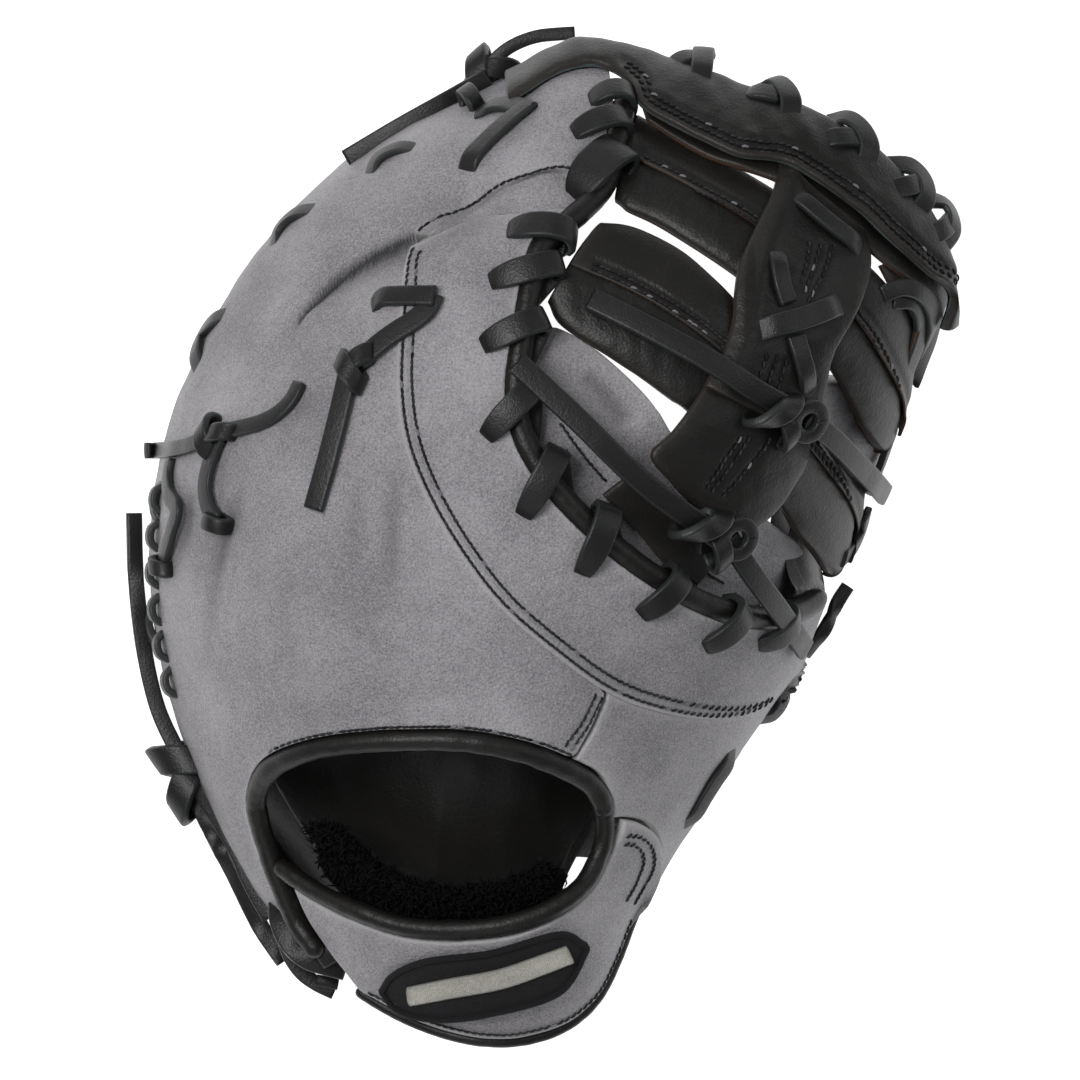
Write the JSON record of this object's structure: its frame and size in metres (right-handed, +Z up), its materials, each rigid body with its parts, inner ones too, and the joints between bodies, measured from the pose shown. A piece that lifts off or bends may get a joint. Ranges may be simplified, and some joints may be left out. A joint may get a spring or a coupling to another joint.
{
  "type": "first base mitt",
  "caption": "First baseman's mitt for the left hand, lying palm down: grey leather back and palm, black laced web, rolled bindings, wrist strap and knotted lace ends.",
  "frame": {"origin": "middle of the whole outline in plan, on the surface that the mitt rests on", "axes": "+Y from the wrist strap to the finger tips, +X towards the thumb and the web's open side, +Z up out of the back of the hand"},
  "size_m": [0.2416, 0.2903, 0.107],
  "materials": {
    "grey_leather": "matte grained",
    "black_leather": "satin",
    "black_lace": "satin",
    "black_felt": "matte",
    "black_fleece": "matte"
  },
  "bodies": {
    "root": {"back_panel": "grey_leather", "crotch_panel": "grey_leather", "thumb_panel": "grey_leather", "wrist_strap": "grey_leather", "strap_patch": "black_felt", "strap_fleece": "black_fleece", "opening_binding": "black_leather", "strap_binding": "black_leather", "heel_binding": "black_leather", "crotch_welt": "black_leather", "palm": "grey_leather", "palm_lining": "black_leather", "web_band": "black_leather", "web_bar_outer": "black_leather", "web_bar_inner": "black_leather", "web_post": "black_leather", "web_post_foot": "black_leather", "web_base_panel": "grey_leather", "web_base_tab": "black_leather", "crotch_lace": "black_lace", "band_lace": "black_lace", "post_lace_top": "black_lace", "post_lace_left": "black_lace", "post_lace_middle": "black_lace", "post_lace_low": "black_lace", "finger_lace_a": "black_lace", "finger_lace_b": "black_lace", "finger_lace_c": "black_lace", "pinky_lace_a": "black_lace", "pinky_lace_b": "black_lace", "thumb_lace_a": "black_lace", "thumb_lace_b": "black_lace", "finger_lace_d": "black_lace", "tip_knot": "black_lace", "back_knot": "black_lace", "pinky_knot": "black_lace", "side_knot": "black_lace", "wrist_knot": "black_lace", "strap_knot": "black_lace", "web_knot_low": "black_lace", "web_knot_high": "black_lace", "thumb_tip_lace": "black_lace", "bar_lace_inner": "black_lace", "bar_lace_outer": "black_lace", "band_end_lace": "black_lace"}
  },
  "joints": []
}
